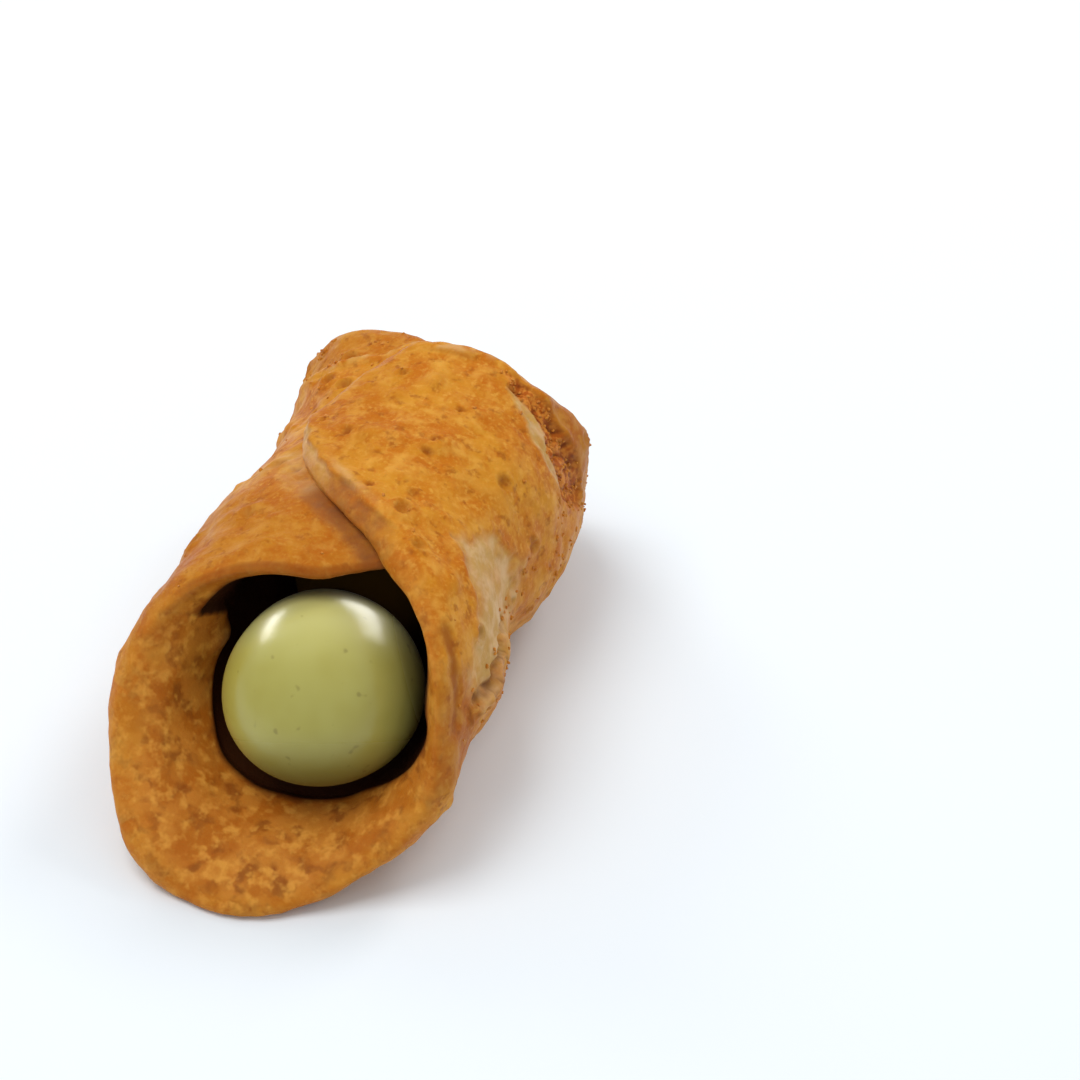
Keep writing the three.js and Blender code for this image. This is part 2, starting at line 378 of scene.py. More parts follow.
# Heights and widths of the relief.
ROLL_HEIGHT = 0.3
ROLL_WIDTH = 2.4
CHANNEL_DEPTH = 0.22
CHANNEL_PLACE = 5.2
CHANNEL_WIDTH = 1.3
TORN_DEPTH = 0.7
HOLE_DEPTH = 0.8
CHUNK_SIZE = 2.6
CHUNK_HEIGHT = 0.45
PATCH_DEPTH = 0.35
RIDGE_HEIGHT = 0.65
RIDGE_WIDTH = 1.5
RIDGE_REACH = 1.7
CREVICE_DEPTH = 0.7
CREVICE_WIDTH = 0.9
GROOVE_DEPTH = 0.3
GROOVE_WIDTH = 1.2
STEP_HEIGHT = 0.35
FLAKE_HEIGHT = 0.35
FLAKE_WIDTH = 0.9
LAYER_DROP = 0.4
FOLD_DEPTH = 0.6
FOLD_WIDTH = 2.6
PIT_DEPTH = 0.4
# Turns and distances over which something begins or ends.
ROLLED_RIM_BEGIN = (118, 134)
HALO_END = (108, 118)
SHADED_RIM_END = (-136, -118)
LOW_EDGE_BEGIN = (154, 168)
LOW_EDGE_WIDTH = (1.3, 2.1)
ABOVE_EDGE_BEGIN = (165, 176)
TIP_BEGIN = (186, 194)
STEP_TURN_BEGIN = (55, 68)
STEP_TURN_END = (92, 104)
STEP_BACK_BEGIN = (54.6, 55.6)
STEP_BACK_END = (57, 66)
FLAKE_TURN_END = (-118, -105)
FLAKE_BACK_BEGIN = (58, 61)

# Outlines and lines, as (turn, back) places.
TORN_AREA = [
    (153, 64.6), (147, 62), (141.9, 59.7), (137.6, 58.1), (132, 56.9), (124, 56), (113, 56.6), (103, 57.6),
    (96, 60.5), (95, 62.4), (101, 64), (110, 64.2), (121, 64), (132, 64), (146, 65.2),
]
CUT_FACE = [
    (148.5, 62.3), (141.9, 59.7), (137.6, 58.1), (132, 56.9), (127, 56.2), (120.7, 56.1), (112, 57),
    (112, 57.8), (117.5, 58.7), (121.9, 59), (126.2, 58.9), (130.1, 60.5), (135.3, 61.6), (142.3, 61.8),
]
PALE_PATCH = [
    (140.5, 36.4), (135, 39.8), (125, 42.7), (113, 44), (105, 43), (100, 40.5), (97.5, 37), (98.8, 32.3),
    (97.5, 29), (97, 25.6), (109, 25.4), (119, 27), (124.6, 31.8), (132, 32.7),
]
RAGGED_RIDGE = [(93, 34.5), (95, 32), (93, 28), (95.5, 23)]
RIDGE_CREVICE = [(103, 37.4), (101, 33), (98.5, 29.5), (97.5, 26.2), (99, 24.4)]
RIM_GROOVE = [(129, 24), (118, 22), (108, 20.6), (99, 19)]
SEAM_PALE = [(-134, 44), (-141, 45.4), (-150, 42.2), (-158, 39.8)]
SEAM_SHADE_LINE = [(-163, 38.4), (-171, 37), (-180, 35.1), (-188, 33.6), (-196, 31.8), (-205, 30)]
BACK_FLAKE = [(-112, 66.5), (-122, 65.4), (-143, 65.2), (-160, 66.2), (-170, 68.6), (-181, 71.4)]
BACK_FLAKE_RIGHT = [(188, 64.6), (176, 65), (164, 65.6), (150, 65.8)]
FRONT_LAYER_FROM = 40  # the layer that ends at BACK_FLAKE counts from here
SIDE_FOLD = [(-133, 56), (-126, 59.5), (-115, 62.4), (-100, 63.5), (-85, 62.5)]

# Round holes and pits: turn, back and radius.
TORN_HOLES = [(119.5, 60.4, 0.8), (102.5, 59.4, 0.8), (145.5, 62.9, 0.6), (125, 61.6, 0.45), (121, 63, 0.4)]
PITS = [
    (192.5, 47.4, 0.75), (146, 62.8, 0.7), (158.5, 55.3, 0.5), (161.5, 46.6, 0.7), (163, 48.8, 0.6),
    (174, 38.7, 0.6), (-150.5, 42.8, 0.6), (-141, 45, 0.8),
]
# Broad swells and hollows: turn, back, radius and height.
SWELLINGS = [
    (75, 53, 3, -0.9), (77, 59, 4, -0.2), (84, 69.5, 4, -0.9), (114, 68.5, 4.5, 0.6),
    (133, 66.5, 3.5, -0.5), (176, 66, 3.5, 0.4), (-130, 73, 4, 0.8), (-103, 71, 3.5, -0.8),
    (-119, 45.5, 4, -0.6), (-110, 29, 4, -0.5), (-56, 6, 4, -0.5), (-29, 1.5, 4, 0.4), (32, 5, 4, 0.3),
    (46, 8, 3.5, -0.6), (73, 16, 4.5, 0.9), (72.5, 26.5, 3, -0.9), (66, 45.5, 4, -0.9), (80, 42.5, 4, -0.8),
]
# Soft darkening; the third is painted shade on the front of the left flap. Strength, and the turns and the
# distances back over which it fades in and out.
BROWNING_AND_SHADE = [
    (0.4, (88, 98), (132, 144), (61, 64), None),
    (0.4, (76, 86), (112, 122), None, (21, 26)),
    (0.32, None, (-116, -96), None, (36, 44)),
    (0.1, (176, 190), None, None, None),
]
# Blisters: seed, count, smallest and largest radius, and the turns and distances back where they lie.
BLISTERS = [
    (11, 60, 0.8, 2.4, (95, 205), (26, 70)),
    (12, 60, 0.8, 2.2, (-205, -60), (18, 74)),
    (13, 70, 0.9, 2.6, (-70, 95), (3, 76)),
]
BLISTER_HEIGHTS = (0.16, 0.32)  # least and greatest height for each millimetre of radius
BURST_SHARE = 0.3
BURST_MOUTH = 0.62  # radius of a burst blister's pit, as a share of the blister's

# The line at which painted shade darkens the inside of the sheet. Under the upper flap it keeps to the rims
# instead.
HOLE_EDGE = [
    (-152, 25.6), (-147, 25), (-134, 24.5), (-126, 23.8), (-120, 23), (-115, 25.6), (-108, 27.8), (-98, 28),
    (-91, 27.2), (-84, 25.2), (-77, 23.2), (-64, 20.4), (-50, 17.9), (-40, 16.4), (-29, 15.6), (-16, 15.2),
    (-2, 15.4), (16, 15.9), (32, 16.5), (46, 17.1), (64, 17), (80, 16.9), (97, 16.9), (109, 18),
]
HOLE_EDGE_BEGIN = (-165, -145)  # turns over which the line takes over from the rims
HOLE_EDGE_END = (92, 106)
DARK_UNDER_ARCH = 1.9  # millimetres in from the upper rims to where the inside's painted shade begins
DARK_AT_BACK = 7.0  # and in from the back rim
TOUCH_TURN = -95
TOUCH_BACK = 26.5
TOUCH_SIZE = 2.2
TOUCH_HEIGHT = 0.9
MOUTH_STEP = 1.1
MOUTH_STEP_BEGIN = (0, 1.8)  # millimetres past the line over which the step outwards begins and ends
MOUTH_STEP_END = (9, 20)
hole_edge = curve_through(HOLE_EDGE)


def blisters(points, seed, count, low, high, turns, backs):
    """Domes at random places on the outside; some have burst and show a ring round a pit."""
    rng = np.random.default_rng(seed)
    rise = np.zeros(len(points))
    pit = np.zeros(len(points))
    inland = RIM_ROUND * 3  # blisters stand on the face as it is away from the rims
    for _ in range(count):
        turn, back = rng.uniform(*turns), rng.uniform(*backs)
        _, outer = faces_of(np.array(turn), np.array(back), inland, inland)
        middle = place(turn, back, outer)
        radius = rng.uniform(low, high)
        height = radius * rng.uniform(*BLISTER_HEIGHTS)
        burst = rng.random() < BURST_SHARE
        far = np.linalg.norm(points - middle, axis=1) / radius
        near = far < 1
        dome = (1 - far[near] ** 2) ** 2
        if burst:
            mouth = crown(far[near], BURST_MOUTH)
            dome = 1.1 * np.sqrt(dome) * (1 - mouth) - 0.9 * mouth
            pit[near] = np.maximum(pit[near], mouth**0.5 * 0.8)
        rise[near] += height * dome
    return rise, pit


class DoughSurface:
    """The dough's surface as it is worked: how far each point stands proud, and the marks on it."""

    def __init__(self, points, turn, back, face, to_front, to_back):
        self.points, self.turn, self.back, self.face = points, turn, back, face
        self.to_front, self.to_back = to_front, to_back
        self.to_rim = np.minimum(to_front, to_back)
        self.outside = 0.5 + 0.5 * face * np.minimum(self.to_rim / (RIM_ROUND / 2), 1)
        self.inside = 1 - self.outside
        self.rise = np.zeros(len(points))
        self.marks = {name: np.zeros(len(points)) for name in ("pale_and_highlight", "brown_and_shade", "recess_shade", "crease_shade", "crumb")}
        self.broad = lumps(points, BROAD, 1)
        self.middling = lumps(points, MIDDLING, 2)
        self.fine = lumps(points, FINE, 3, 2)
        self.small = lumps(points, SMALL, 4)
        self.wrinkle = 1 - 2 * np.abs(lumps(points + 1.2 * self.middling[:, None], WRINKLE, 5))
        # Marks at the ragged places get ragged edges. The soft places are shifted half as far.
        shift_turn = (0.8 * lumps(points, SHIFT, 6) + 0.45 * self.small) / ARC
        shift_back = 0.8 * lumps(points, SHIFT, 7) + 0.45 * self.small
        self.ragged = (turn + shift_turn, back + shift_back)
        self.soft = (turn + 0.5 * shift_turn, back + 0.5 * shift_back)

    def mark(self, name, amount):
        """Marks the outside; where two marks of a kind overlap, the stronger one counts."""
        self.marks[name] = np.maximum(self.marks[name], self.outside * amount)

    def lift(self, height):
        """Raises the outside, or lowers it where the height is negative."""
        self.rise += self.outside * height

    def far_from(self, turn, back, places=None):
        """Millimetres on the sheet from one place to all points, or to their shifted places."""
        turns, backs = places or (self.turn, self.back)
        return np.hypot((turns - turn) * ARC, backs - back)

    def make_uneven(self):
        """Lumps and wrinkles of all sizes, the broad swellings, and a calmer inside."""
        uneven = 0.2 * self.broad + 0.24 * self.middling + 0.14 * self.fine + 0.06 * self.small
        self.lift(uneven + 0.12 * self.wrinkle)
        for turn, back, radius, height in SWELLINGS:
            self.lift(height * bell(self.far_from(turn, back), radius))
        lively = 1 - 0.6 * ease(self.to_rim, *CALM_DEPTH)
        self.rise += self.inside * lively * (0.15 * self.broad + 0.16 * self.middling + 0.04 * self.fine)

    def roll_upper_rim(self):
        """The rim of the upper flap is rolled: a low ridge with a shallow channel behind it."""
        ridge = ROLL_HEIGHT * band(self.to_front, ROLL_WIDTH, soft=1.2)
        channel = CHANNEL_DEPTH * bell(self.to_front - CHANNEL_PLACE, CHANNEL_WIDTH)
        self.lift(stretch(self.turn, ROLLED_RIM_BEGIN) * (ridge - channel))

    def tear_layer(self):
        """A torn layer at the right rear: a pale cut face that slopes down to a floor of broken chunks."""
        torn = within(*self.soft, TORN_AREA)
        cut = ease(within(*self.soft, CUT_FACE), -0.25, 0.35)
        broken = ease(torn, -0.3, 0.6) * (1 - cut)
        # The ragged ridge is made of chunks too, lower ones.
        ridge = near_line(*self.ragged, RAGGED_RIDGE)
        chunky = np.maximum(broken, 0.7 * band(ridge, RIDGE_WIDTH, soft=0.8))
        chosen = (chunky > 0.01) & (self.face > 0)
        nearest, second = cells(self.points[chosen] + 0.8 * self.fine[chosen, None], CHUNK_SIZE, 8)
        # A chunk is 1 in its middle and 0 in the gaps round it.
        chunk = np.zeros(len(self.points))
        chunk[chosen] = np.clip((second - nearest) / 0.5, 0, 1)
        self.lift(-TORN_DEPTH * ease(torn, -0.1, 1.6))
        self.lift(chunky * (0.25 * self.middling + 0.16 * self.small - CHUNK_HEIGHT * (1 - chunk)))
        # Painted shade in the gaps between the chunks.
        self.mark("recess_shade", 0.7 * chunky * (1 - ease(chunk, 0.02, 0.22)))
        self.mark("crumb", broken)
        self.mark("pale_and_highlight", cut * (0.75 + 0.4 * self.small))
        for turn, back, radius in TORN_HOLES:
            distance = self.far_from(turn, back, self.ragged)
            self.lift(-HOLE_DEPTH * crown(distance, 1.3 * radius) ** 2)
            # Painted shade in the hole.
            self.mark("recess_shade", 0.7 * spot(distance, radius, fall=1.5))
        self.chunky = chunky

    def add_pale_patch(self):
        """The pale patch that the oven did not brown, the ragged ridge beside it and the lines round it."""
        patch = within(*self.ragged, PALE_PATCH) + 0.5 * self.fine
        self.lift(-PATCH_DEPTH * ease(patch, -0.4, 0.8))
        self.mark("pale_and_highlight", ease(patch, -0.6, 2.0) * (0.84 + 0.3 * self.middling))
        halo = ease(patch, -3.5, 0.5) * stretch(self.turn, None, HALO_END)
        self.mark("pale_and_highlight", 0.7 * halo * (0.8 + 0.6 * self.small))
        ridge = near_line(*self.ragged, RAGGED_RIDGE)
        self.lift((RIDGE_HEIGHT + 0.4 * self.fine) * crown(ridge, RIDGE_REACH))
        crevice = near_line(*self.soft, RIDGE_CREVICE)
        self.lift(-CREVICE_DEPTH * crown(crevice, CREVICE_WIDTH))
        # Painted shade in the crevice.
        self.mark("recess_shade", 0.75 * band(crevice, 0.4, soft=0.35) * ease(self.small + self.fine, -0.6, 0.3))
        groove = near_line(*self.soft, RIM_GROOVE)
        self.lift(-GROOVE_DEPTH * crown(groove, GROOVE_WIDTH))
        # Painted shade in the groove.
        self.mark("brown_and_shade", 0.75 * band(groove, 0.7, soft=0.6))

    def add_browning_and_shade(self):
        """Soft darkening of whole areas; on the front of the left flap it is painted shade."""
        for strength, turn_begin, turn_end, back_begin, back_end in BROWNING_AND_SHADE:
            area = stretch(self.turn, turn_begin, turn_end) * stretch(self.back, back_begin, back_end)
            self.mark("brown_and_shade", strength * area)

    def add_seam(self):
        """Where the flaps meet: pale dough, painted shade in the crease, on the flap's low edge and on the
        arch's rim, and a painted highlight.
        """
        mottled = 0.8 + 0.5 * self.small
        self.mark("pale_and_highlight", 0.38 * band(near_line(*self.soft, SEAM_PALE), 2.0, soft=1.0) * mottled)
        # Painted shade in the crease.
        self.mark("crease_shade", 0.95 * band(near_line(*self.soft, SEAM_SHADE_LINE), 1.6, soft=0.8) * mottled)
        # Painted shade on the arch's front rim.
        shaded_rim = stretch(self.turn, None, SHADED_RIM_END)
        self.mark("brown_and_shade", 1.2 * stretch(self.to_front, None, (0.3, 1.3)) * shaded_rim)
        low_edge = stretch(self.turn, LOW_EDGE_BEGIN)
        low_edge = low_edge * stretch(self.to_front + 0.5 * self.fine, None, LOW_EDGE_WIDTH)
        self.lift(-low_edge * (0.65 + 0.25 * self.small))
        tip = stretch(self.turn, TIP_BEGIN)
        # Painted shade on the flap's low edge.
        self.mark("crease_shade", low_edge * (1 - tip) * (0.65 + 0.5 * self.small))
        self.mark("pale_and_highlight", 0.6 * low_edge * tip)
        # Painted highlight along the rolled edge above the low edge.
        edge_highlight = stretch(self.turn, ABOVE_EDGE_BEGIN) * (1 - tip)
        self.mark("pale_and_highlight", 0.35 * edge_highlight * band(np.abs(self.to_front - 2.5), 0.5))

    def add_side_step(self):
        """The outer layer stands proud along a step on the right side."""
        on_side = stretch(self.turn, STEP_TURN_BEGIN, STEP_TURN_END)
        self.lift(STEP_HEIGHT * on_side * stretch(self.ragged[1], STEP_BACK_BEGIN, STEP_BACK_END))

    def add_flakes(self):
        """Flaky edges towards the back, a lower and browner layer behind them, and a fold on the left."""
        for flake in (BACK_FLAKE, BACK_FLAKE_RIGHT):
            distance = near_line(*self.ragged, flake)
            self.lift(FLAKE_HEIGHT * crown(distance, FLAKE_WIDTH))
            self.mark("pale_and_highlight", 0.45 * band(distance, 0.35, soft=0.3) * ease(self.fine, -0.1, 0.4))
        corners = [(turn, FRONT_LAYER_FROM) for turn, _ in (BACK_FLAKE[-1], BACK_FLAKE[0])]
        behind = ease(-within(*self.ragged, BACK_FLAKE + corners), 0, 0.8)
        behind *= stretch(self.turn, None, FLAKE_TURN_END) * stretch(self.back, FLAKE_BACK_BEGIN)
        self.lift(-LAYER_DROP * behind)
        self.mark("brown_and_shade", 0.2 * behind)
        self.lift(-FOLD_DEPTH * crown(near_line(*self.soft, SIDE_FOLD), FOLD_WIDTH))

    def add_pits(self):
        for turn, back, radius in PITS:
            distance = self.far_from(turn, back, self.soft)
            self.lift(-PIT_DEPTH * crown(distance, radius))
            self.mark("brown_and_shade", 0.9 * spot(distance, radius))

    def add_blisters(self):
        """Blisters all over, but not on the torn chunks."""
        for kind in BLISTERS:
            domes, pits = blisters(self.points, *kind)
            self.lift(domes * (1 - self.chunky))
            self.mark("brown_and_shade", 0.6 * pits)

    def shape_mouth(self):
        """The bore's mouth: a rounded step outwards that leaves a gap round the cream, and painted shade on
        the inside past the opening's edge and under the arch.
        """
        past_edge = self.back + 0.35 * lumps(self.points, 4, 10) - hole_edge(self.turn)
        round_mouth = stretch(self.turn, HOLE_EDGE_BEGIN, HOLE_EDGE_END)
        step = stretch(past_edge, MOUTH_STEP_BEGIN, MOUTH_STEP_END) * round_mouth
        self.rise -= self.inside * MOUTH_STEP * step
        # How far each point lies into the painted shade of the inside.
        under_arch = self.to_front - DARK_UNDER_ARCH
        into_shade = past_edge * round_mouth + under_arch * (1 - round_mouth)
        into_shade = np.minimum(into_shade, self.to_back - DARK_AT_BACK)
        self.marks["deep"] = np.where(self.face < 0, np.clip(into_shade, NOT_IN_BORE_SHADE, -NOT_IN_BORE_SHADE), NOT_IN_BORE_SHADE)
        # At one place on the left the dough bulges in and touches the cream.
        touch = bell(self.far_from(TOUCH_TURN, TOUCH_BACK), TOUCH_SIZE)
        self.rise += self.inside * TOUCH_HEIGHT * touch
        self.marks["pale_and_highlight"] = np.maximum(self.marks["pale_and_highlight"], self.inside * 0.5 * touch**3)

    def work(self):
        """Does all of it and gives back the rise and the marks."""
        self.make_uneven()
        self.roll_upper_rim()
        self.tear_layer()
        self.add_pale_patch()
        self.add_browning_and_shade()
        self.add_seam()
        self.add_side_step()
        self.add_flakes()
        self.add_pits()
        self.add_blisters()
        self.shape_mouth()
        self.marks["lip"] = self.inside
        self.marks["tone"] = 0.5 + 0.5 * np.clip(1.2 * self.fine + 0.6 * self.wrinkle - 0.3, -1, 1)
        return self.rise, self.marks


# ---------------------------------------------------------------- materials
class Nodes:
    """Short ways to add nodes to a material."""

    def __init__(self, name):
        self.material = bpy.data.materials.new(name)
        self.material.use_nodes = True
        self.tree = self.material.node_tree
        self.shader = self.tree.nodes["Principled BSDF"]
        self.place = self.tree.nodes.new("ShaderNodeTexCoord").outputs["Object"]

    def link(self, source, target):
        if isinstance(source, (int, float, tuple)):
            target.default_value = source
        else:
            self.tree.links.new(source, target)

    def attribute(self, name):
        node = self.tree.nodes.new("ShaderNodeAttribute")
        node.attribute_name = name
        return node.outputs["Fac"]

    def noise(self, size, detail=3.0, roughness=0.55, distortion=0.0):
        """Noise with features of the given size in millimetres."""
        node = self.tree.nodes.new("ShaderNodeTexNoise")
        self.link(self.place, node.inputs["Vector"])
        node.inputs["Scale"].default_value = 1 / (size * MM)
        node.inputs["Detail"].default_value = detail
        node.inputs["Roughness"].default_value = roughness
        node.inputs["Distortion"].default_value = distortion
        return node.outputs["Fac"]

    def between(self, value, low, high, to_low=0.0, to_high=1.0):
        """Maps low..high to to_low..to_high, smoothly and clamped."""
        node = self.tree.nodes.new("ShaderNodeMapRange")
        node.interpolation_type = "SMOOTHSTEP"
        self.link(value, node.inputs["Value"])
        node.inputs["From Min"].default_value = low
        node.inputs["From Max"].default_value = high
        node.inputs["To Min"].default_value = to_low
        node.inputs["To Max"].default_value = to_high
        return node.outputs["Result"]

    def mix(self, share, a, b):
        """Colour a where share is 0, colour b where it is 1."""
        node = self.tree.nodes.new("ShaderNodeMix")
        node.data_type = "RGBA"
        self.link(share, node.inputs[0])
        self.link(a, node.inputs[6])
        self.link(b, node.inputs[7])
        return node.outputs[2]

    def scaled(self, value, factor):
        node = self.tree.nodes.new("ShaderNodeMath")
        node.operation = "MULTIPLY"
        self.link(value, node.inputs[0])
        self.link(factor, node.inputs[1])
        return node.outputs[0]

    def bump(self, height, distance, strength):
        """A bump of up to the distance in millimetres."""
        node = self.tree.nodes.new("ShaderNodeBump")
        node.inputs["Distance"].default_value = distance * MM
        node.inputs["Strength"].default_value = strength
        self.link(height, node.inputs["Height"])
        return node.outputs["Normal"]

    def glow(self, weight, radius):
        """Light that spreads under the surface, by radius in millimetres for red, green and blue."""
        self.shader.inputs["Subsurface Weight"].default_value = weight
        self.shader.inputs["Subsurface Radius"].default_value = radius
        self.shader.inputs["Subsurface Scale"].default_value = 1.0 * MM


def colour(red, green, blue):
    """A display colour, 0 to 255 in each channel, as the linear colour that nodes take."""

    def linear(value):
        value /= 255
        return value / 12.92 if value <= 0.04045 else ((value + 0.055) / 1.055) ** 2.4

    return (linear(red), linear(green), linear(blue), 1.0)


GOLDEN = colour(198, 130, 32)
ORANGE = colour(184, 102, 14)
LIGHT_CRUST = colour(212, 150, 58)
BROWN_CRUST = colour(142, 70, 8)
LIP_TAN = colour(196, 122, 44)
LIP_ORANGE = colour(176, 96, 24)
LIP_BROWN = colour(128, 54, 10)
LIP_LIGHT = colour(222, 154, 64)
CRUMB_BROWN = colour(168, 84, 18)
CRUMB_LIGHT = colour(208, 130, 46)
SEAM_SHADE = colour(146, 88, 46)
PALE_TAN = colour(190, 148, 80)
PALE_PINK = colour(210, 172, 122)
CREVICE_SHADE = colour(96, 38, 8)
BORE_SHADE_BROWN = colour(104, 46, 14)
BORE_SHADE_DARK = colour(62, 32, 14)
CREAM_GREEN = colour(166, 156, 70)
CREAM_SOFT_GREEN = colour(174, 166, 84)
CREAM_PAINTED_LIGHT = colour(194, 188, 114)
CREAM_SPECK = colour(110, 100, 44)
CREAM_SHADE = colour(84, 60, 18)
WHITE = colour(255, 255, 255)
BLACK = colour(0, 0, 0)
FLOOR_COLOUR = (0.83, 0.87, 0.9, 1)

# Blotches, each over the ones before: size in millimetres, detail, distortion, the noise at which they
# begin and are full, strength and colour.
BLOTCHES = [
    (7.0, 3.0, 0.6, 0.36, 0.62, 1.0, ORANGE),
    (2.6, 2.5, 0.6, 0.44, 0.74, 0.85, LIGHT_CRUST),
    (1.8, 2.5, 0.4, 0.48, 0.74, 0.75, ORANGE),
    (1.4, 2.0, 0.0, 0.55, 0.74, 0.6, BROWN_CRUST),
    (1.0, 2.0, 0.0, 0.55, 0.75, 0.6, LIGHT_CRUST),
    (0.5, 2.0, 0.0, 0.45, 0.7, 0.3, LIGHT_CRUST),
]
LIP_BLOTCHES = [
    (4.0, 3.0, 0.0, 0.42, 0.6, 1.0, LIP_ORANGE),
    (2.6, 2.5, 0.3, 0.48, 0.7, 0.9, LIP_BROWN),
    (1.6, 2.0, 0.0, 0.47, 0.72, 0.9, LIP_LIGHT),
]


def blotched(n, ground, blotches):
    for size, detail, distortion, begin, full, strength, shade in blotches:
        where = n.between(n.noise(size, detail, distortion=distortion), begin, full, 0.0, strength)
        ground = n.mix(where, ground, shade)
    return ground


def dough_material():
    n = Nodes("baked_dough")
    base = blotched(n, GOLDEN, BLOTCHES)
    base = n.mix(n.between(n.attribute("tone"), 0.6, 1.0, 0.0, 0.3), base, LIGHT_CRUST)
    # The lip and the inside are browner and redder, with soft brown spots.
    base = n.mix(n.scaled(n.attribute("lip"), 0.8), base, blotched(n, LIP_TAN, LIP_BLOTCHES))
    crumbs = n.mix(n.between(n.noise(0.9, detail=2.0), 0.4, 0.62), CRUMB_BROWN, CRUMB_LIGHT)
    base = n.mix(n.attribute("crumb"), base, crumbs)
    # Browning, and painted shade on the arch's rim, in the groove and on the front of the left flap.
    base = n.mix(n.attribute("brown_and_shade"), base, BROWN_CRUST)
    # Painted shade in the crease where the flaps meet and on the flap's low edge.
    base = n.mix(n.attribute("crease_shade"), base, SEAM_SHADE)
    # Pale dough, and a painted highlight along the upper flap's rolled edge.
    pale_and_highlight = n.mix(n.between(n.noise(2.4), 0.38, 0.62), PALE_TAN, PALE_PINK)
    base = n.mix(n.attribute("pale_and_highlight"), base, pale_and_highlight)
    # Painted shade in crevices, holes and the gaps between torn chunks.
    base = n.mix(n.attribute("recess_shade"), base, CREVICE_SHADE)
    # Painted shade: the inside turns brown just before the edge of the opening, and dark at it.
    base = n.mix(n.between(n.attribute("deep"), -0.9, 0.1, 0.0, 0.6), base, BORE_SHADE_BROWN)
    base = n.mix(n.between(n.attribute("deep"), -0.3, 0.7), base, BORE_SHADE_DARK)
    n.link(base, n.shader.inputs["Base Color"])
    n.link(n.between(n.noise(3.0), 0.35, 0.7, 0.4, 0.58), n.shader.inputs["Roughness"])
    n.shader.inputs["Specular IOR Level"].default_value = 0.12
    n.glow(0.08, (1.0, 0.35, 0.12))
    grain = n.noise(0.7, detail=4.0, roughness=0.65)
    n.link(n.bump(grain, distance=0.13, strength=0.7), n.shader.inputs["Normal"])
    return n.material


def cream_material():
    n = Nodes("green_cream")
    fresh = n.mix(n.between(n.noise(9.0, detail=2.0), 0.35, 0.65), CREAM_GREEN, CREAM_SOFT_GREEN)
    # Painted light: the top of the ball is lighter.
    fresh = n.mix(n.attribute("light"), fresh, CREAM_PAINTED_LIGHT)
    fresh = n.mix(n.between(n.noise(1.8, detail=1.0), 0.7, 0.8, 0.0, 0.5), fresh, CREAM_SPECK)
    # Painted shade: where it is painted the cream turns dark brown and loses its gloss.
    shade = n.attribute("shade")
    n.link(n.mix(shade, fresh, CREAM_SHADE), n.shader.inputs["Base Color"])
    n.link(n.between(shade, 0.1, 1.0, 0.27, 0.8), n.shader.inputs["Roughness"])
    n.link(n.between(shade, 0.1, 0.9, 0.5, 0.0), n.shader.inputs["Specular IOR Level"])
    n.link(n.mix(shade, WHITE, BLACK), n.shader.inputs["Specular Tint"])
    n.glow(0.2, (1.0, 0.9, 0.35))
    return n.material


def floor_material():
    n = Nodes("floor")
    n.shader.inputs["Base Color"].default_value = FLOOR_COLOUR
    n.shader.inputs["Roughness"].default_value = 0.9
    n.shader.inputs["Specular IOR Level"].default_value = 0.1
    return n.material


# ---------------------------------------------------------------- the pieces
CREAM_AROUND = 200
CREAM_ALONG = 240
CREAM_WAVES = 0.05  # heights of the cream's broad waves and of its ripples
CREAM_RIPPLES = 0.012
BALL_SHADE_END = (8, 20)  # millimetres behind the ball's middle over which the ball's painted shade and painted light end
NECK_BEGIN = (7.8, 9.4)  # and over which the painted shade of the hidden neck begins
NECK_END = (CREAM_BACK - 12, CREAM_BACK - 3)
CRUMB_SEED = 31
CRUMB_COUNT = 260
CRUMB_SIZES = (0.12, 0.3)
CRUMB_STRETCH = (0.5, 1.25)
CRUMB_LUMPINESS = 0.6
CRUMB_LUMP = 0.9  # size of a crumb's lumps, in crumb radii
CRUMB_RAISE = 0.05  # how far a crumb's middle stands off the crust, in crumb radii
CRUMB_MARKS = {"crumb": 0.6, "pale_and_highlight": 0.12, "deep": NOT_IN_BORE_SHADE}
# How thickly loose crumbs lie on plain crust, on the torn chunks, at the back left and on the right flank.
CRUMBS_ANYWHERE = 0.002
CRUMBS_ON_CHUNKS = 0.4
CRUMBS_BACK_LEFT = 0.12
CRUMBS_RIGHT_FLANK = 0.1
BACK_LEFT_TURN_END = (-110, -90)
BACK_LEFT_BEGIN = (56, 66)
FLANK_TURN_BEGIN = (78, 88)
FLANK_TURN_END = (100, 112)
FLANK_BEGIN = (18, 24)


